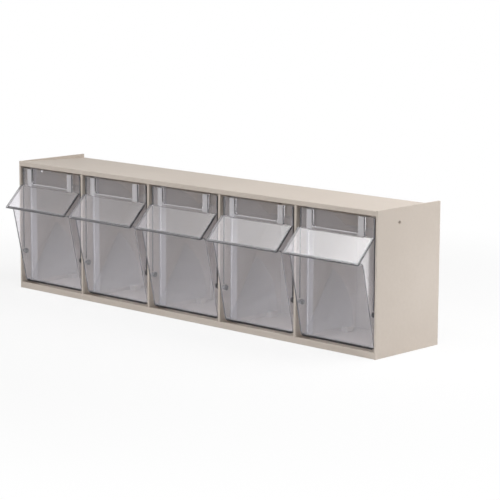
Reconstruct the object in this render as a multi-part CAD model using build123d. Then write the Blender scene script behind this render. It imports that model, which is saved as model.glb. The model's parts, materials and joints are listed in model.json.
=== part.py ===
from build123d import *
import os
from math import asin, atan2, cos, degrees, radians, sin, sqrt, tan

# Overall sizes, in mm
overall_width = 600.1
overall_height = 165.1
cabinet_depth = 109.8
lip_reach = 26.7
bin_count = 5

# Cabinet walls
end_thickness = 2.6
divider_thickness = 3.0
board_thickness = 3.0
back_thickness = 3.0
seat_depth = 1.0

# Top board: it starts a little under the end panels and falls towards the back
top_drop_front = 0.3
top_drop_back = 4.7
top_rail_height = 6.0
bottom_rail_height = 7.5
rail_thickness = 3.0
rail_round = 0.9
end_edge_round = 0.7

# Holes for linking cabinets side by side and for wall screws
link_hole_diameter = 4.0
link_hole_inset = 37.9
link_hole_drop = 16.4
screw_hole_diameter = 5.0
screw_hole_spacing = 406.4
screw_hole_drop = 26.0

# Bin pivot, measured from the cabinet's front plane and from its base
pivot_inset = 4.6
pivot_height = 49.0
open_angle = 45.0
pin_diameter = 4.4
pin_head_diameter = 6.6
pin_head_length = 1.6
pin_head_chamfer = 0.4
pin_fit = 0.03
pin_running = 0.08

# Blind socket that a pin turns in; a low collar on the dividers brings it level with the end panels
socket_depth = 1.4
collar_wall = 1.6
pin_end_gap = 0.2

# Bin front: leaning wall, hood with a hollow pull lip, upper panel and cheeks
bin_side_gap = 3.01
front_wall = 1.8
cheek_wall = 1.8
foot_inset = 4.6
foot_height = 9.3
front_lean = 12.4
foot_round = 5.0
front_edge_round = 1.2
hood_wall = 2.0
hood_overhang = 1.2
hood_slope = 45.8
hood_drop = 30.0
hood_proud = 0.87
lip_round = 0.8
lip_bend = 3.0
panel_inset = 1.7
panel_wall = 1.8
cheek_back = 22.0
bead_proud = 0.7
swing_clearance = 2.0

# Label frame on the upper panel
frame_side_margin = 12.6
frame_arm = 7.6
frame_foot = 2.7
frame_proud = 3.2
frame_corner = 5.0

# Pair of small round bosses behind the label frame
boss_diameter = 3.2
boss_inset = 4.3
boss_rise = 5.7
boss_proud = 0.8

# Bin body: side plates, sloping back wall and the lap inside the cheeks
body_wall = 1.6
lap_width = 8.0
wing_gap = 14.2
rim_clearance = 1.5
stop_gap = 0.3
rim_flange = 2.6
foot_lap = 4.0

# Pads on the bottom board that the closed bins rest on
pad_width = 9.0
pad_length = 10.0
pad_back_margin = 4.0
pad_gap = 0.3

# Places that follow from the sizes above; y is counted from the front plane of the cabinet
front_y = (lip_reach - cabinet_depth) / 2
pitch = overall_width / bin_count
half_width = overall_width / 2
inner_half = half_width - end_thickness
board_slope = (top_drop_back - top_drop_front) / cabinet_depth
top_front = overall_height - top_drop_front
top_rail_bottom = top_front - top_rail_height
back_inner = cabinet_depth - back_thickness
socket_face = pitch / 2 - end_thickness
bin_half_width = socket_face - bin_side_gap
hood_half_width = bin_half_width + hood_overhang
frame_half_width = bin_half_width - frame_side_margin
wing_radius = back_inner - foot_inset - wing_gap

# Swing of the bin: the rim passes under the board and catches the top rail at the open angle
swing_radius = top_rail_bottom - swing_clearance - pivot_height
rim_radius = top_front - board_thickness - rim_clearance - pivot_height
rim_open = 90 + degrees(asin((pivot_inset - rail_thickness - stop_gap) / rim_radius))
rim_angle = rim_open - open_angle
rim_y = pivot_inset + rim_radius * cos(radians(rim_angle))
rim_z = pivot_height + rim_radius * sin(radians(rim_angle))

os.makedirs("parts", exist_ok=True)


def board_top(y):
    """Height of the top board's upper face at a distance from the front plane."""
    return top_front - board_slope * y


def board_under(y):
    """Height of the top board's lower face."""
    return board_top(y) - board_thickness


def across(points, half, centre=0.0):
    """A closed outline in the y-z plane, pushed out both ways along x."""
    outline = make_face(Polyline(*points, close=True))
    return Pos(centre, 0, 0) * extrude(Plane.YZ * outline, half, both=True)


def block(x0, x1, y0, y1, z0, z1):
    """A plain block between two corners."""
    centre = Pos((x0 + x1) / 2, (y0 + y1) / 2, (z0 + z1) / 2)
    return centre * Box(x1 - x0, y1 - y0, z1 - z0)


def rod(x0, x1, y, z, diameter):
    """A round bar along x."""
    turned = Rot(0, 90, 0) * Cylinder(diameter / 2, x1 - x0)
    return Pos((x0 + x1) / 2, y, z) * turned


def save(shape, node):
    """Move a piece from the front-plane frame to the part's own frame and write it."""
    export_step(Pos(0, front_y, 0) * shape, f"parts/{node}.step")


# Bay centres and the wall faces beside each bay
bay_centres = [(k - (bin_count - 1) / 2) * pitch for k in range(bin_count)]
divider_places = [(k - bin_count / 2) * pitch for k in range(1, bin_count)]


def seat_half():
    """Half length of a board whose ends are let into the end panels."""
    return inner_half + seat_depth


def make_top():
    section = [
        (0, top_rail_bottom),
        (0, top_front),
        (cabinet_depth, board_top(cabinet_depth)),
        (cabinet_depth, board_under(cabinet_depth)),
        (rail_thickness, board_under(rail_thickness)),
        (rail_thickness, top_rail_bottom),
    ]
    board = across(section, seat_half())
    front_edge = board.edges().filter_by(Axis.X).sort_by(Axis.Y)[0:2]
    return fillet(front_edge, rail_round)


def make_bottom():
    section = [
        (0, 0),
        (cabinet_depth, 0),
        (cabinet_depth, board_thickness),
        (rail_thickness, board_thickness),
        (rail_thickness, bottom_rail_height),
        (0, bottom_rail_height),
    ]
    board = across(section, seat_half())
    front_edge = board.edges().filter_by(Axis.X).sort_by(Axis.Y)[0:2]
    board = fillet(front_edge, rail_round)
    wing_back = foot_inset + wing_radius
    pad_end = wing_back - pad_back_margin
    for centre in bay_centres:
        for side in (-1, 1):
            middle = centre + side * (bin_half_width - cheek_wall - body_wall / 2)
            board += block(
                middle - pad_width / 2, middle + pad_width / 2,
                pad_end - pad_length, pad_end,
                board_thickness, foot_height - pad_gap,
            )
    return board


def make_back():
    section = [
        (back_inner, board_thickness - seat_depth),
        (cabinet_depth, board_thickness - seat_depth),
        (cabinet_depth, board_under(cabinet_depth) + seat_depth),
        (back_inner, board_under(back_inner) + seat_depth),
    ]
    panel = across(section, seat_half())
    for side in (-1, 1):
        place = Pos(side * screw_hole_spacing / 2, cabinet_depth, overall_height - screw_hole_drop)
        panel -= place * Rot(90, 0, 0) * Cylinder(screw_hole_diameter / 2, 4 * back_thickness)
    return panel


def make_end(side):
    outer = side * half_width
    inner = side * inner_half
    panel = block(min(outer, inner), max(outer, inner), 0, cabinet_depth, 0, overall_height)
    front = panel.edges().filter_by(Axis.Z).sort_by(Axis.Y)[0:2]
    panel = fillet(front, end_edge_round)
    hole_z = overall_height - link_hole_drop
    panel -= rod(
        min(outer, inner) - 1, max(outer, inner) + 1,
        link_hole_inset, hole_z, link_hole_diameter,
    )
    return panel


def make_divider(place):
    section = [
        (0, bottom_rail_height),
        (rail_thickness, bottom_rail_height),
        (rail_thickness, board_thickness - seat_depth),
        (back_inner + seat_depth, board_thickness - seat_depth),
        (back_inner + seat_depth, board_under(back_inner + seat_depth) + seat_depth),
        (rail_thickness, board_under(rail_thickness) + seat_depth),
        (rail_thickness, top_rail_bottom),
        (0, top_rail_bottom),
    ]
    return across(section, divider_thickness / 2, place)


def socket(centre, side):
    """The blind hole beside a bay, from just inside the wall to the socket's floor."""
    mouth = centre + side * (socket_face - socket_depth)
    floor = centre + side * (socket_face + socket_depth)
    return rod(min(mouth, floor), max(mouth, floor),
               pivot_inset, pivot_height, pin_diameter + 2 * pin_running)


def make_collar(centre, side):
    """The low round collar between a divider and the plane that the sockets open on."""
    face = centre + side * (pitch / 2 - divider_thickness / 2)
    tip = centre + side * socket_face
    outer = pin_diameter + 2 * pin_running + 2 * collar_wall
    return rod(min(face, tip), max(face, tip), pivot_inset, pivot_height, outer)


# Outlines of the bin in the y-z plane
lean = tan(radians(front_lean))
slope = tan(radians(hood_slope))
lip_angle = radians(hood_slope)
lip_y = -lip_reach - lip_round * (cos(lip_angle) + sin(lip_angle) - 1)
hood_top_y = -hood_proud
hood_height = overall_height - hood_drop
lip_height = hood_height - (hood_top_y - lip_y) * slope


def front_face_y(z, inset=0.0):
    """The leaning wall's outer face, or a face inside it."""
    return foot_inset - lean * (z - foot_height) + inset / cos(radians(front_lean))


def hood_face_z(y, depth=0.0):
    """The hood's upper face, or a face under it."""
    return lip_height + (y - lip_y) * slope - depth / cos(radians(hood_slope))


def hood_point(along, depth):
    """A point of the hood plate: its distance up from the lip's end and its depth under the upper face."""
    return (
        lip_y + along * cos(lip_angle) + depth * sin(lip_angle),
        lip_height + along * sin(lip_angle) - depth * cos(lip_angle),
    )


def swing_z(y, radius):
    """Height of a circle about the pivot."""
    return pivot_height + sqrt(radius ** 2 - (y - pivot_inset) ** 2)


def arc_points(radius, start_y, end_y):
    """Start, middle and end of an arc about the pivot."""
    middle = (start_y + end_y) / 2
    return [(y, swing_z(y, radius)) for y in (start_y, middle, end_y)]


def outline_of(*curves):
    """A flat outline from curves drawn as (y, z)."""
    return make_face([edge for curve in curves for edge in curve.edges()])


def bend(outline, place, radius, floor_end):
    """Round the corner between the leaning wall and the lip's floor, by no more than the floor's run."""
    run = place[0] - floor_end
    corner = outline.vertices().sort_by_distance(place)[0]
    return fillet([corner], min(radius, 0.9 * run / tan(radians(90 - front_lean) / 2)))


def round_lower_corners(shape):
    """Take off the two lower corners of a bin, as seen from the front, back to the cheeks' ends."""
    for side in (-1, 1):
        start = side * (bin_half_width - foot_round)
        end = side * (bin_half_width + 1)
        cut = block(
            min(start, end), max(start, end),
            foot_inset - 3, cheek_back + 1, foot_height - 1, foot_height + foot_round,
        )
        keep = Pos(start, 0, foot_height + foot_round) * Rot(90, 0, 0)
        shape -= cut - keep * Cylinder(foot_round, 4 * cheek_back)
    return shape


def on_front_corner(point):
    """True on the two upright edges between the leaning wall and the cheeks."""
    beside = abs(abs(point.X) - bin_half_width) < 0.001
    return beside and abs(point.Y - front_face_y(point.Z)) < 0.001


def make_bin_front():
    inner_half_width = bin_half_width - cheek_wall
    panel_back = panel_inset + panel_wall

    # The leaning wall turns forward into the floor of the hollow lip
    lip_top = hood_point(lip_round, 0)
    lip_under = hood_point(lip_round, hood_wall)
    lip_floor = lip_under[1]
    outer_corner = (front_face_y(lip_floor), lip_floor)
    lip_floor_top = lip_floor + front_wall
    inner_corner = (front_face_y(lip_floor_top, front_wall), lip_floor_top)

    # Solid outer form up to the arc that the top edge swings on
    crown = arc_points(swing_radius, panel_inset, cheek_back)
    outline = outline_of(
        Polyline((cheek_back, foot_height), (foot_inset, foot_height), outer_corner, lip_under, lip_top,
                 (hood_top_y, hood_height), (panel_inset, hood_height), crown[0]),
        ThreePointArc(*crown),
        Line(crown[2], (cheek_back, foot_height)),
    )
    outline = Plane.YZ * bend(outline, outer_corner, lip_bend, lip_under[0])
    shell = extrude(outline, bin_half_width, both=True)

    # The inside, open at the top, the back and the bottom
    top = swing_z(panel_inset, swing_radius) + 1
    ledge_under = hood_height - hood_wall
    ledge_y = lip_y + (ledge_under - hood_face_z(lip_y, hood_wall)) / slope
    lip_inner_y = lip_y + (lip_floor_top - hood_face_z(lip_y, hood_wall)) / slope
    inside = outline_of(
        Polyline(
            (cheek_back + 1, foot_height - 1),
            (front_face_y(foot_height - 1, front_wall), foot_height - 1),
            inner_corner,
            (lip_inner_y, lip_floor_top),
            (ledge_y, ledge_under),
            (panel_back, ledge_under),
            (panel_back, top),
            (cheek_back + 1, top),
            close=True,
        )
    )
    inside = Plane.YZ * bend(inside, inner_corner, lip_bend + front_wall, lip_inner_y)
    shell -= extrude(inside, inner_half_width, both=True)
    edges = shell.edges().filter_by(GeomType.LINE)
    shell = fillet([edge for edge in edges if on_front_corner(edge.center())], front_edge_round)

    shell = round_lower_corners(shell)

    # Hood plate, a little wider than the bin
    plate = across(
        [
            hood_point(0, 0),
            (hood_top_y, hood_face_z(hood_top_y)),
            (hood_top_y, hood_face_z(hood_top_y, hood_wall)),
            hood_point(0, hood_wall),
        ],
        hood_half_width,
    )
    lip_edges = plate.edges().filter_by(Axis.X).sort_by(Axis.Y)[0:2]
    plate = fillet(lip_edges, lip_round)
    shell += plate

    # Fine upright bead along each cheek, in line with the upper panel and ending above the pivot
    bead_foot = pivot_height + pin_diameter
    bead_top = swing_z(panel_inset, swing_radius) - bead_proud
    for side in (-1, 1):
        face = side * bin_half_width
        proud_face = face + side * bead_proud
        shell += block(
            min(face, proud_face), max(face, proud_face), panel_inset, panel_back,
            bead_foot, bead_top,
        )

    # Raised label frame, open at the top, standing on the hood
    frame_top = swing_z(panel_inset, swing_radius)
    window_bottom = hood_height + frame_foot
    arm_inner = frame_half_width - frame_arm
    frame_face = panel_inset - frame_proud
    frame = block(
        -frame_half_width, frame_half_width, frame_face, panel_inset,
        hood_face_z(frame_face), frame_top,
    )
    window = Rectangle(2 * arm_inner, 2 * (frame_top - window_bottom))
    window = fillet(window.vertices(), min(frame_corner, 0.9 * (frame_top - window_bottom)))
    frame -= Pos(0, panel_inset, frame_top) * Rot(90, 0, 0) * extrude(window, 3 * frame_proud, both=True)
    shell += frame
    for side in (-1, 1):
        boss = Pos(side * (frame_half_width - boss_inset), panel_back, hood_height + boss_rise)
        shell += boss * Rot(90, 0, 0) * Cylinder(boss_diameter / 2, 2 * boss_proud)

    # Holes for the pivot pins
    for side in (-1, 1):
        shell -= rod(
            side * bin_half_width - 2 * cheek_wall, side * bin_half_width + 2 * cheek_wall,
            pivot_inset, pivot_height, pin_diameter + 2 * pin_fit,
        )
    return shell


def make_bin_body():
    outer_half = bin_half_width - cheek_wall
    lap_front = cheek_back - lap_width
    foot_y = front_face_y(foot_height, front_wall)

    # The back wall runs from the foot of the bin to the rim
    run = sqrt((rim_y - foot_y) ** 2 + (rim_z - foot_height) ** 2)
    along = ((rim_y - foot_y) / run, (rim_z - foot_height) / run)
    away = (along[1], -along[0])

    def wall_point(distance, depth=0.0):
        return (
            foot_y + along[0] * distance + away[0] * depth,
            foot_height + along[1] * distance + away[1] * depth,
        )

    # Side plates: round at the lower back, then along the back wall, then the swing arc
    wall_back = wall_point(run, body_wall)
    reach_y = foot_y + away[0] * body_wall - foot_inset
    reach_z = away[1] * body_wall
    b = reach_y * along[0] + reach_z * along[1]
    c = reach_y ** 2 + reach_z ** 2 - wing_radius ** 2
    apex_run = -b + sqrt(b ** 2 - c)
    apex = wall_point(apex_run, body_wall)
    apex_angle = atan2(apex[1] - foot_height, apex[0] - foot_inset)
    wing_middle = (
        foot_inset + wing_radius * cos(apex_angle / 2),
        foot_height + wing_radius * sin(apex_angle / 2),
    )
    wing_end = (foot_inset + wing_radius, foot_height)
    crown_end = pivot_inset + swing_radius * cos(radians(rim_angle))
    crown = arc_points(swing_radius, lap_front, crown_end)
    outline = Plane.YZ * outline_of(
        Line((lap_front, foot_height), wing_end),
        ThreePointArc(wing_end, wing_middle, apex),
        Polyline(apex, wall_back, crown[2]),
        ThreePointArc(*reversed(crown)),
        Line(crown[0], (lap_front, foot_height)),
    )
    plates = extrude(outline, outer_half, both=True)
    plates -= block(
        body_wall - outer_half, outer_half - body_wall,
        -lip_reach, cabinet_depth, 0, overall_height,
    )

    # Back wall, with a flange turned over along its rim
    wall = across(
        [wall_point(0), wall_point(run), wall_back, (wall_point(0)[0] + body_wall / along[1], foot_height)],
        outer_half,
    )
    flange = across(
        [
            wall_point(run - body_wall),
            wall_point(run),
            wall_point(run, body_wall + rim_flange),
            wall_point(run - body_wall, body_wall + rim_flange),
        ],
        outer_half,
    )

    # Lap along the foot, against the inside of the leaning wall
    foot_top = foot_height + foot_lap
    lap = across(
        [
            (front_face_y(foot_height, front_wall), foot_height),
            (front_face_y(foot_top, front_wall), foot_top),
            (front_face_y(foot_top, front_wall + body_wall), foot_top),
            (front_face_y(foot_height, front_wall + body_wall), foot_height),
        ],
        outer_half,
    )
    return round_lower_corners(plates + wall + flange + lap)


def make_pins(centre):
    pins = []
    for side in (-1, 1):
        cheek_inner = centre + side * (bin_half_width - cheek_wall)
        head_end = cheek_inner - side * pin_head_length
        shank_end = centre + side * (socket_face + socket_depth - pin_end_gap)
        head = rod(min(cheek_inner, head_end), max(cheek_inner, head_end),
                   pivot_inset, pivot_height, pin_head_diameter)
        rim = head.edges().filter_by(GeomType.CIRCLE).sort_by(Axis.X)
        head = fillet([rim[0] if side > 0 else rim[-1]], pin_head_chamfer)
        shank = rod(min(cheek_inner, shank_end), max(cheek_inner, shank_end),
                    pivot_inset, pivot_height, pin_diameter)
        pins.append(head + shank)
    return pins[0] + pins[1]


# Cabinet
top_panel = make_top()
bottom_panel = make_bottom()
back_panel = make_back()
dividers = []
for place in divider_places:
    divider = make_divider(place)
    for side in (-1, 1):
        divider += make_collar(place + side * pitch / 2, -side)
        divider -= socket(place + side * pitch / 2, -side)
    dividers.append(divider)

ends = {}
for name, side in (("left", -1), ("right", 1)):
    end = make_end(side)
    end -= socket(side * (half_width - pitch / 2), side)
    for seated in (top_panel, bottom_panel, back_panel):
        end -= seated
    ends[name] = end

for divider in dividers:
    top_panel -= divider
    bottom_panel -= divider
    back_panel -= divider
top_panel -= back_panel
bottom_panel -= back_panel

save(top_panel, "top_panel")
save(bottom_panel, "bottom_panel")
save(back_panel, "back_panel")
for name, end in ends.items():
    save(end, f"{name}_end_panel")
for k, divider in enumerate(dividers, start=1):
    save(divider, f"divider_{k}")

# Bins
bin_front = make_bin_front()
bin_body = make_bin_body()
for k, centre in enumerate(bay_centres, start=1):
    save(Pos(centre, 0, 0) * bin_front, f"bin_front_{k}")
    save(Pos(centre, 0, 0) * bin_body, f"bin_body_{k}")
    save(make_pins(centre), f"pivot_pins_{k}")
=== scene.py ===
import json
import math

import bpy
from mathutils import Matrix, Vector


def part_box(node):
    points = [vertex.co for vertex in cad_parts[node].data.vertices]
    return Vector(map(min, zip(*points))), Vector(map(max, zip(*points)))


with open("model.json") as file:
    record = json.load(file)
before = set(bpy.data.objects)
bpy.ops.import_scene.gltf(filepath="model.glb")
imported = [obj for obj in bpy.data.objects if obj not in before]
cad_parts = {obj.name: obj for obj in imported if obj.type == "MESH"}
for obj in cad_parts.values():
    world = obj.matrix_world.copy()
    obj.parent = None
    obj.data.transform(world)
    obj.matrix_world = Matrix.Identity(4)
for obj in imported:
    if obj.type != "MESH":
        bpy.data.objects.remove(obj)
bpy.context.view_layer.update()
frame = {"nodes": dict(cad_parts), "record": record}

scene = bpy.context.scene

# The outer box of the cabinet, from its two end panels
cabinet_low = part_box("left_end_panel")[0]
cabinet_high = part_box("right_end_panel")[1]

# Sizes repeated from the part, in metres; depth is counted back from the front plane of the cabinet
BAY_COUNT = 5
LIP_REACH = 0.0267
CHEEK_FACE = 0.0544
CHEEK_WALL = 0.0018
CHEEK_BACK = 0.022
PLATE_WALL = 0.0016
LAP_WIDTH = 0.008
FOOT_HEIGHT = 0.0093
HOOD_DROP = 0.030
HOOD_OVERHANG = 0.0012
HOOD_PROUD = 0.00087
HOOD_SLOPE = math.radians(45.8)
PANEL_FACE = 0.0017
FRAME_MARGIN = 0.0126
FRAME_ARM = 0.0076
FRAME_FOOT = 0.0027
FRAME_PROUD = 0.0032

# Places that follow from them
FRONT_PLANE = cabinet_low.y
HALF_WIDTH = cabinet_high.x
BAY_PITCH = 2 * HALF_WIDTH / BAY_COUNT
PLATE_INNER = CHEEK_FACE - CHEEK_WALL - PLATE_WALL
LAP_FRONT = CHEEK_BACK - LAP_WIDTH
HOOD_TOP = cabinet_high.z - HOOD_DROP
HOOD_END = CHEEK_FACE + HOOD_OVERHANG
FRAME_FACE = PANEL_FACE - FRAME_PROUD
FRAME_BAR_TOP = HOOD_TOP + FRAME_FOOT
ARM_INNER = CHEEK_FACE - FRAME_MARGIN - FRAME_ARM

# Where each tone of the clear plastic starts and where it is full
LAP_SIDES = (PLATE_INNER - 0.0006, PLATE_INNER - 0.0002)
LAP_START = (LAP_FRONT - 0.0006, LAP_FRONT)
LAP_STOP = (CHEEK_BACK, CHEEK_BACK + 0.0008)
ABOVE_HOOD = (HOOD_TOP, HOOD_TOP + 0.0004)
BEHIND_FRAME = (FRAME_FACE + 0.0002, FRAME_FACE + 0.0006)
IN_ARMS = (ARM_INNER - 0.0002, ARM_INNER + 0.0002)
BAR_EDGE_START = (FRAME_BAR_TOP - 0.0003, FRAME_BAR_TOP - 0.0001)
BAR_EDGE_STOP = (FRAME_BAR_TOP + 0.0001, FRAME_BAR_TOP + 0.0003)
BAR_EDGE_BACK = (PANEL_FACE - 0.0007, PANEL_FACE - 0.0003)
IN_HOOD_END = (HOOD_END - 0.0003, HOOD_END - 0.0001)
BEHIND_LIP = (0.0014 - LIP_REACH, 0.0018 - LIP_REACH)
UNDER_HOOD = (0.0003, 0.0007)
ABOVE_FOOT = (FOOT_HEIGHT + 0.0016, FOOT_HEIGHT + 0.0030)
IN_CHEEK = (CHEEK_FACE - 0.0002, CHEEK_FACE)
IN_BEAD = (CHEEK_FACE + 0.0001, CHEEK_FACE + 0.0003)
BEAD_START = (PANEL_FACE - 0.0005, PANEL_FACE - 0.0001)

# How hazy each place of the clear plastic is, and how strong its painted shade and painted highlight are,
# as shares
FRONT_HAZE = 0.05
FRONT_LAP_HAZE = 0.6
CHEEK_HAZE = 0.09
FRAME_FROST = 0.12
ARM_FROST = 0.32
# Strength of the painted highlight along the top of the frame's bar
BAR_EDGE_HIGHLIGHT = 0.6
FOOT_PAINTED_SHADE = 0.9
HOOD_END_PAINTED_SHADE = 0.9
BEAD_PAINTED_SHADE = 0.8
BODY_HAZE = 0.08
BODY_LAP_HAZE = 0.5
BODY_SHINE = 0.04
BODY_SLANT_SHINE = 0.8

# Colours
STONE_PALE = (0.625, 0.555, 0.490, 1.0)
STONE_DEEP = (0.590, 0.520, 0.455, 1.0)
SHEET_TINT = (0.985, 0.975, 0.995, 1.0)
BODY_TINT = (0.975, 0.980, 0.995, 1.0)
PASSING_TINT = (0.87, 0.875, 0.885, 1.0)
# Near-black tint of the painted shade on the clear plastic
PAINTED_SHADE_TINT = (0.03, 0.03, 0.035, 1.0)
# Tint of the hazy surface, also used for the painted highlight on the frame's bar
HAZE_AND_HIGHLIGHT_TINT = (0.86, 0.845, 0.875, 1.0)
PIN_PALE = (0.085, 0.085, 0.090, 1.0)
PIN_DEEP = (0.050, 0.050, 0.055, 1.0)
FLOOR_TINT = (0.90, 0.90, 0.90, 1.0)
WHITE = (1.0, 1.0, 1.0, 1.0)

# The camera, fitted to the edges of the cabinet in the photograph
CAMERA_PLACE = Vector((1.67111, -1.68935, 0.49121))
CAMERA_TURN = math.radians(43.4525)
CAMERA_RISE = math.radians(9.7989)
CAMERA_ROLL = math.radians(0.283)
CAMERA_NEAR = 0.05
CAMERA_FAR = 100.0
PICTURE_SIDE = 500
FOCAL_PIXELS = 1998.62
SENSOR_WIDTH = 36.0

# Surroundings: 1 is the brightness of a white surface
AMBIENT = 0.15
BACKDROP = 1.0

# Mirrored light sees them this dim overhead; the pair is how far up a direction points, from 0 to 1
CEILING = 0.3
CEILING_RISE = (0.15, 0.65)

# The floor glows with this share of white at the cabinet, and is all white where the pairs end, in metres
FLOOR_SIZE = 40.0
FLOOR_GAP = 0.0002
FLOOR_GLOW = 0.82
FLOOR_WHITE = (0.35, 0.8)
FLOOR_WHITE_MIRRORED = (0.6, 4.0)

# Lamps, in metres
LAMPS = {
    "softbox_above": {
        "place": (-0.595, -0.203, 0.70),
        "target": (-0.595, -0.203, 0.0),
        "size": (0.91, 0.15),
        "radiance": 7.6,
        "fade": 0.165,
    },
    "softbox_low": {
        "place": (0.52, 0.21, 0.055),
        "target": (0.294, -0.06, 0.10),
        "size": (0.14, 0.10),
        "radiance": 3.0,
    },
    "softbox_front": {
        "place": (-1.2, -3.2, 1.4),
        "target": (0.0, 0.0, 0.1),
        "size": (1.8, 1.8),
        "radiance": 4.0,
    },
    "softbox_over": {
        "place": (0.60, 0.38, 0.80),
        "target": (0.25, 0.05, 0.15),
        "size": (0.7, 0.7),
        "radiance": 4.0,
    },
    "softbox_left": {
        "place": (-1.7, 0.0, 0.4),
        "target": (-0.3, 0.0, 0.08),
        "size": (0.7, 0.7),
        "radiance": 2.5,
    },
    "softbox_top": {
        "place": (0.55, -0.30, 1.0),
        "target": (0.2, 0.0, 0.1),
        "size": (0.5, 0.5),
        "radiance": 4.0,
    },
}


class Signal:
    """A number, colour or direction inside a material; arithmetic on it adds Math nodes."""

    def __init__(self, finish, socket):
        self.finish = finish
        self.socket = socket

    def __add__(self, other):
        return self.finish.maths("ADD", self, other)

    def __radd__(self, other):
        return self.finish.maths("ADD", other, self)

    def __sub__(self, other):
        return self.finish.maths("SUBTRACT", self, other)

    def __rsub__(self, other):
        return self.finish.maths("SUBTRACT", other, self)

    def __mul__(self, other):
        return self.finish.maths("MULTIPLY", self, other)

    def __rmul__(self, other):
        return self.finish.maths("MULTIPLY", other, self)

    def __pow__(self, other):
        return self.finish.maths("POWER", self, other)

    def __rpow__(self, other):
        return self.finish.maths("POWER", other, self)

    def __mod__(self, other):
        return self.finish.maths("FLOORED_MODULO", self, other)

    def __rmod__(self, other):
        return self.finish.maths("FLOORED_MODULO", other, self)

    def __abs__(self):
        return self.finish.maths("ABSOLUTE", self)


class Finish:
    """A node tree that is built one call at a time."""

    def __init__(self, tree):
        tree.nodes.clear()
        self.tree = tree

    def add(self, kind, settings=None, inputs=None, output=0):
        """Add one node: its settings first, then what its sockets hold or are linked to."""
        node = self.tree.nodes.new(kind)
        for key, value in (settings or {}).items():
            setattr(node, key, value)
        for key, value in (inputs or {}).items():
            if isinstance(value, Signal):
                self.tree.links.new(value.socket, node.inputs[key])
            else:
                node.inputs[key].default_value = value
        return Signal(self, node.outputs[output]) if node.outputs else None

    def add_all(self, kind, inputs=None):
        """Add one node and give all its outputs by name."""
        node = self.add(kind, {}, inputs).socket.node
        return {output.name: Signal(self, output) for output in node.outputs}

    def maths(self, operation, *values):
        return self.add("ShaderNodeMath", {"operation": operation}, dict(enumerate(values)))

    def highest(self, first, *others):
        """The highest of several values."""
        for other in others:
            first = self.maths("MAXIMUM", first, other)
        return first

    def between(self, value, low, high):
        """0 below low, 1 above high and smooth in between."""
        return self.add(
            "ShaderNodeMapRange",
            {"interpolation_type": "SMOOTHSTEP"},
            {"Value": value, "From Min": low, "From Max": high},
        )

    def blend(self, share, first, second):
        """Mix two colours; the sockets of the colours are numbered, since their names repeat."""
        return self.add(
            "ShaderNodeMix", {"data_type": "RGBA"}, {0: share, 6: first, 7: second}, 2
        )

    def mix(self, share, first, second):
        """Mix two shaders."""
        return self.add("ShaderNodeMixShader", {}, {0: share, 1: first, 2: second})

    def noise(self, place, scale, detail):
        return self.add(
            "ShaderNodeTexNoise", {}, {"Vector": place, "Scale": scale, "Detail": detail}
        )

    def bump(self, height, strength, distance):
        """The direction of a surface that is raised a little by a height from 0 to 1."""
        return self.add(
            "ShaderNodeBump", {}, {"Strength": strength, "Distance": distance, "Height": height}
        )

    def surface(self, **sockets):
        """A general surface; an underscore in a socket's name stands for a space."""
        inputs = {name.replace("_", " "): value for name, value in sockets.items()}
        return self.add("ShaderNodeBsdfPrincipled", {}, inputs)

    def object_place(self):
        return self.add("ShaderNodeTexCoord", output="Object")

    def show(self, shader, kind="Material"):
        self.add(f"ShaderNodeOutput{kind}", {}, {"Surface": shader})


def new_finish(name):
    material = bpy.data.materials.new(name)
    material.use_nodes = True
    return material, Finish(material.node_tree)


def moulded_stone():
    """Stone-coloured moulded plastic: a fine spark-eroded grain and faint clouds of tone."""
    material, f = new_finish("stone_plastic")
    place = f.object_place()
    cloud = f.noise(place, scale=9.0, detail=3.0)
    mottle = f.noise(place, scale=220.0, detail=3.0)
    grain = f.noise(place, scale=1500.0, detail=2.0)
    tone = f.between(cloud * 0.7 + mottle * 0.3, low=0.35, high=0.65)
    f.show(
        f.surface(
            Base_Color=f.blend(tone, STONE_DEEP, STONE_PALE),
            Roughness=0.50 + mottle * 0.12,
            Specular_IOR_Level=0.4,
            Normal=f.bump(grain * 0.7 + mottle * 0.3, strength=0.25, distance=0.0001),
        )
    )
    return material


def bay_place(f, place):
    """How far a point is from the middle of its own bay, from the front plane and from the base."""
    parts = f.add_all("ShaderNodeSeparateXYZ", {"Vector": place})
    beside = abs((parts["X"] + HALF_WIDTH) % BAY_PITCH - BAY_PITCH / 2)
    return beside, parts["Y"] - FRONT_PLANE, parts["Z"]


def bonded_lap(f, beside, behind):
    """1 on the bonded lap just inside the back of the cheeks."""
    lap = f.between(beside, *LAP_SIDES) * f.between(behind, *LAP_START)
    return lap * (1 - f.between(behind, *LAP_STOP))


def let_light_pass(f, surface):
    """Lamps shine through the sheet, as they do through the real one."""
    shadow = f.add_all("ShaderNodeLightPath")["Is Shadow Ray"]
    passing = f.add("ShaderNodeBsdfTransparent", {}, {"Color": PASSING_TINT})
    return f.mix(shadow, surface, passing)


def haze_and_highlight(f, scuffs):
    """What a hazy place of the clear plastic looks like; along the top of the frame's bar the same pale
    surface is a painted highlight.
    """
    return f.surface(Base_Color=HAZE_AND_HIGHLIGHT_TINT, Roughness=0.5 + scuffs * 0.2)


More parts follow.
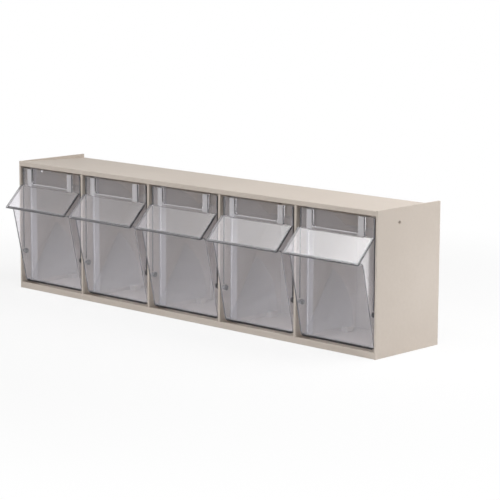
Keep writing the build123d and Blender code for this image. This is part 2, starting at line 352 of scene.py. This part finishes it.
def clear_front():
    """Clear moulded plastic that bends light; frosted on the label frame, with a painted highlight along
    the top of the frame's bar and near-black painted shade on the cut edges of the hood ends and the lip,
    on the foot and on the beads.
    """
    material, f = new_finish("clear_front")
    place = f.object_place()
    beside, behind, above = bay_place(f, place)

    # The frosted front of the label frame: its two arms and its bar, with a painted highlight on a thin
    # band along the top of the bar
    frame_face = f.between(above, *ABOVE_HOOD) * (1 - f.between(behind, *BEHIND_FRAME))
    arms = f.between(beside, *IN_ARMS)
    bar_highlight = f.between(above, *BAR_EDGE_START) * (1 - f.between(above, *BAR_EDGE_STOP))
    bar_highlight = bar_highlight * (1 - f.between(behind, *BAR_EDGE_BACK)) * (1 - arms)

    # Painted shade on the ends of the hood, on the cut rim of its lip and over the foot of the bin
    hood_end = f.between(beside, *IN_HOOD_END)
    below_hood = HOOD_TOP - above + (behind + HOOD_PROUD) * math.tan(HOOD_SLOPE)
    below_hood = below_hood * math.cos(HOOD_SLOPE)
    lip = (1 - f.between(behind, *BEHIND_LIP)) * f.between(below_hood, *UNDER_HOOD)
    # Painted shadow over the foot of the bin, where the gap under it lies in shade
    foot = 1 - f.between(above, *ABOVE_FOOT)

    # The cheeks, and the fine upright bead on each of them, which carries painted shade
    cheek = f.between(beside, *IN_CHEEK) * (1 - hood_end)
    bead = f.between(beside, *IN_BEAD) * f.between(behind, *BEAD_START)

    flow = f.noise(place, scale=26.0, detail=2.0)
    scuffs = f.noise(place, scale=700.0, detail=3.0)
    clear = f.surface(
        Base_Color=SHEET_TINT,
        Roughness=0.01 + scuffs * 0.03,
        IOR=1.49,
        Transmission_Weight=1.0,
        Normal=f.bump(flow, strength=0.04, distance=0.0008),
    )
    # Painted shade: a near-black surface laid over the hood ends, the lip's rim, the foot and the beads
    painted_shade_surface = f.surface(Base_Color=PAINTED_SHADE_TINT, Roughness=0.25, Specular_IOR_Level=0.25)
    pale_share = FRONT_HAZE + bonded_lap(f, beside, behind) * FRONT_LAP_HAZE + cheek * CHEEK_HAZE
    # The thin band along the top of the frame's bar gets the pale surface as a painted highlight
    pale_share = pale_share + frame_face * (FRAME_FROST + arms * ARM_FROST) + bar_highlight * BAR_EDGE_HIGHLIGHT
    # How strongly each place gets the painted shade
    painted_shade_share = f.highest(lip, foot * FOOT_PAINTED_SHADE, hood_end * HOOD_END_PAINTED_SHADE, bead * BEAD_PAINTED_SHADE)
    sheet = f.mix(pale_share, clear, haze_and_highlight(f, scuffs))
    f.show(let_light_pass(f, f.mix(painted_shade_share, sheet, painted_shade_surface)))
    return material


def clear_body():
    """The thinner clear plastic of the hopper: shinier at a slant, hazy along the bonded lap."""
    material, f = new_finish("clear_body")
    place = f.object_place()
    beside, behind, _ = bay_place(f, place)
    slant = f.add("ShaderNodeLayerWeight", {}, {"Blend": 0.5}, "Facing")
    shine = BODY_SHINE + slant ** 5.0 * BODY_SLANT_SHINE
    scuffs = f.noise(place, scale=700.0, detail=3.0)
    gloss = f.surface(Base_Color=WHITE, Metallic=1.0, Roughness=0.04 + scuffs * 0.06)
    clear = f.add("ShaderNodeBsdfTransparent", {}, {"Color": BODY_TINT})
    pale_share = BODY_HAZE + bonded_lap(f, beside, behind) * BODY_LAP_HAZE
    sheet = f.mix(pale_share, f.mix(shine, clear, gloss), haze_and_highlight(f, scuffs))
    f.show(let_light_pass(f, sheet))
    return material


def dark_plastic():
    """Dark moulded plastic of the pivot pins."""
    material, f = new_finish("pin_plastic")
    mottle = f.noise(f.object_place(), scale=900.0, detail=3.0)
    f.show(
        f.surface(
            Base_Color=f.blend(mottle, PIN_DEEP, PIN_PALE),
            Roughness=0.35 + mottle * 0.2,
            Normal=f.bump(mottle, strength=0.3, distance=0.0001),
        )
    )
    return material


def floor_finish():
    """Pale floor: it keeps the soft shadow near the cabinet and runs into the white far from it."""
    material, f = new_finish("studio_floor")
    place = f.object_place()
    away = f.add("ShaderNodeVectorMath", {"operation": "LENGTH"}, {0: place}, "Value")
    rays = f.add_all("ShaderNodeLightPath")
    shown = f.highest(rays["Is Camera Ray"], rays["Is Transmission Ray"])
    white = shown * (FLOOR_GLOW + f.between(away, *FLOOR_WHITE) * (1 - FLOOR_GLOW))
    mirrored = rays["Is Glossy Ray"] * f.between(away, *FLOOR_WHITE_MIRRORED)
    pale = f.add("ShaderNodeBsdfDiffuse", {}, {"Color": FLOOR_TINT})
    glow = f.add("ShaderNodeEmission", {}, {"Color": WHITE, "Strength": BACKDROP})
    f.show(f.mix(f.highest(white, mirrored), pale, glow))
    return material


def dress_nodes():
    """Give every node of the frame its finish."""
    stone = moulded_stone()
    finishes = {"bin_front": clear_front(), "bin_body": clear_body(), "pivot_pins": dark_plastic()}
    for part in frame["record"]["subparts"]:
        family = part["node"].rstrip("0123456789").rstrip("_")
        for slot in frame["nodes"][part["node"]].material_slots:
            slot.link = "OBJECT"
            slot.material = finishes.get(family, stone)


def studio():
    """Pale floor and white surroundings, which are darker overhead in mirrored light."""
    bpy.ops.mesh.primitive_plane_add(size=FLOOR_SIZE, location=(0, 0, -FLOOR_GAP))
    floor = bpy.context.object
    floor.name = "studio_floor"
    floor.data.materials.append(floor_finish())

    world = bpy.data.worlds.new("studio")
    world.use_nodes = True
    scene.world = world
    f = Finish(world.node_tree)
    direction = f.add("ShaderNodeTexCoord", output="Generated")
    up = f.add_all("ShaderNodeSeparateXYZ", {"Vector": direction})["Z"]
    mirrored = 1 - f.between(up, *CEILING_RISE) * (1 - CEILING)
    rays = f.add_all("ShaderNodeLightPath")
    shown = f.highest(
        rays["Is Glossy Ray"] * mirrored, rays["Is Camera Ray"], rays["Is Transmission Ray"]
    )
    ambient = f.add("ShaderNodeBackground", {}, {"Color": WHITE, "Strength": AMBIENT})
    backdrop = f.add("ShaderNodeBackground", {}, {"Color": WHITE, "Strength": BACKDROP})
    f.show(f.mix(shown, ambient, backdrop), "World")


def lamp(name, place, target, size, radiance, fade=0.0):
    """A soft box that looks from its place to its target; radiance 1 is white.

    With a fade, its light halves each time that this share of its width is crossed.
    """
    data = bpy.data.lights.new(name, "AREA")
    data.shape = "RECTANGLE"
    data.size, data.size_y = size
    data.energy = radiance * size[0] * size[1] * math.pi
    if fade:
        data.use_nodes = True
        f = Finish(data.node_tree)
        spot = f.add("ShaderNodeNewGeometry", output="Parametric")
        across = f.add_all("ShaderNodeSeparateXYZ", {"Vector": spot})["X"]
        strength = 0.5 ** ((1 - across) * (1 / fade))
        f.show(f.add("ShaderNodeEmission", {}, {"Color": WHITE, "Strength": strength}), "Light")
    light = bpy.data.objects.new(name, data)
    light.location = place
    light.rotation_euler = (Vector(target) - Vector(place)).to_track_quat("-Z", "Y").to_euler()
    light.visible_camera = False
    scene.collection.objects.link(light)


def camera():
    data = bpy.data.cameras.new("camera")
    data.sensor_fit = "HORIZONTAL"
    data.sensor_width = SENSOR_WIDTH
    data.lens = FOCAL_PIXELS * SENSOR_WIDTH / PICTURE_SIDE
    data.clip_start = CAMERA_NEAR
    data.clip_end = CAMERA_FAR
    back = Vector((
        math.sin(CAMERA_TURN) * math.cos(CAMERA_RISE),
        -math.cos(CAMERA_TURN) * math.cos(CAMERA_RISE),
        math.sin(CAMERA_RISE),
    ))
    right = Vector((math.cos(CAMERA_TURN), math.sin(CAMERA_TURN), 0.0))
    up = back.cross(right)
    rolled_right = math.cos(CAMERA_ROLL) * right + math.sin(CAMERA_ROLL) * up
    rolled_up = math.cos(CAMERA_ROLL) * up - math.sin(CAMERA_ROLL) * right
    turn = Matrix((rolled_right, rolled_up, back)).transposed()
    viewer = bpy.data.objects.new("camera", data)
    viewer.matrix_world = Matrix.Translation(CAMERA_PLACE) @ turn.to_4x4()
    scene.collection.objects.link(viewer)
    scene.camera = viewer


dress_nodes()
studio()
for name, light in LAMPS.items():
    lamp(name, **light)
camera()

scene.view_settings.view_transform = "Standard"
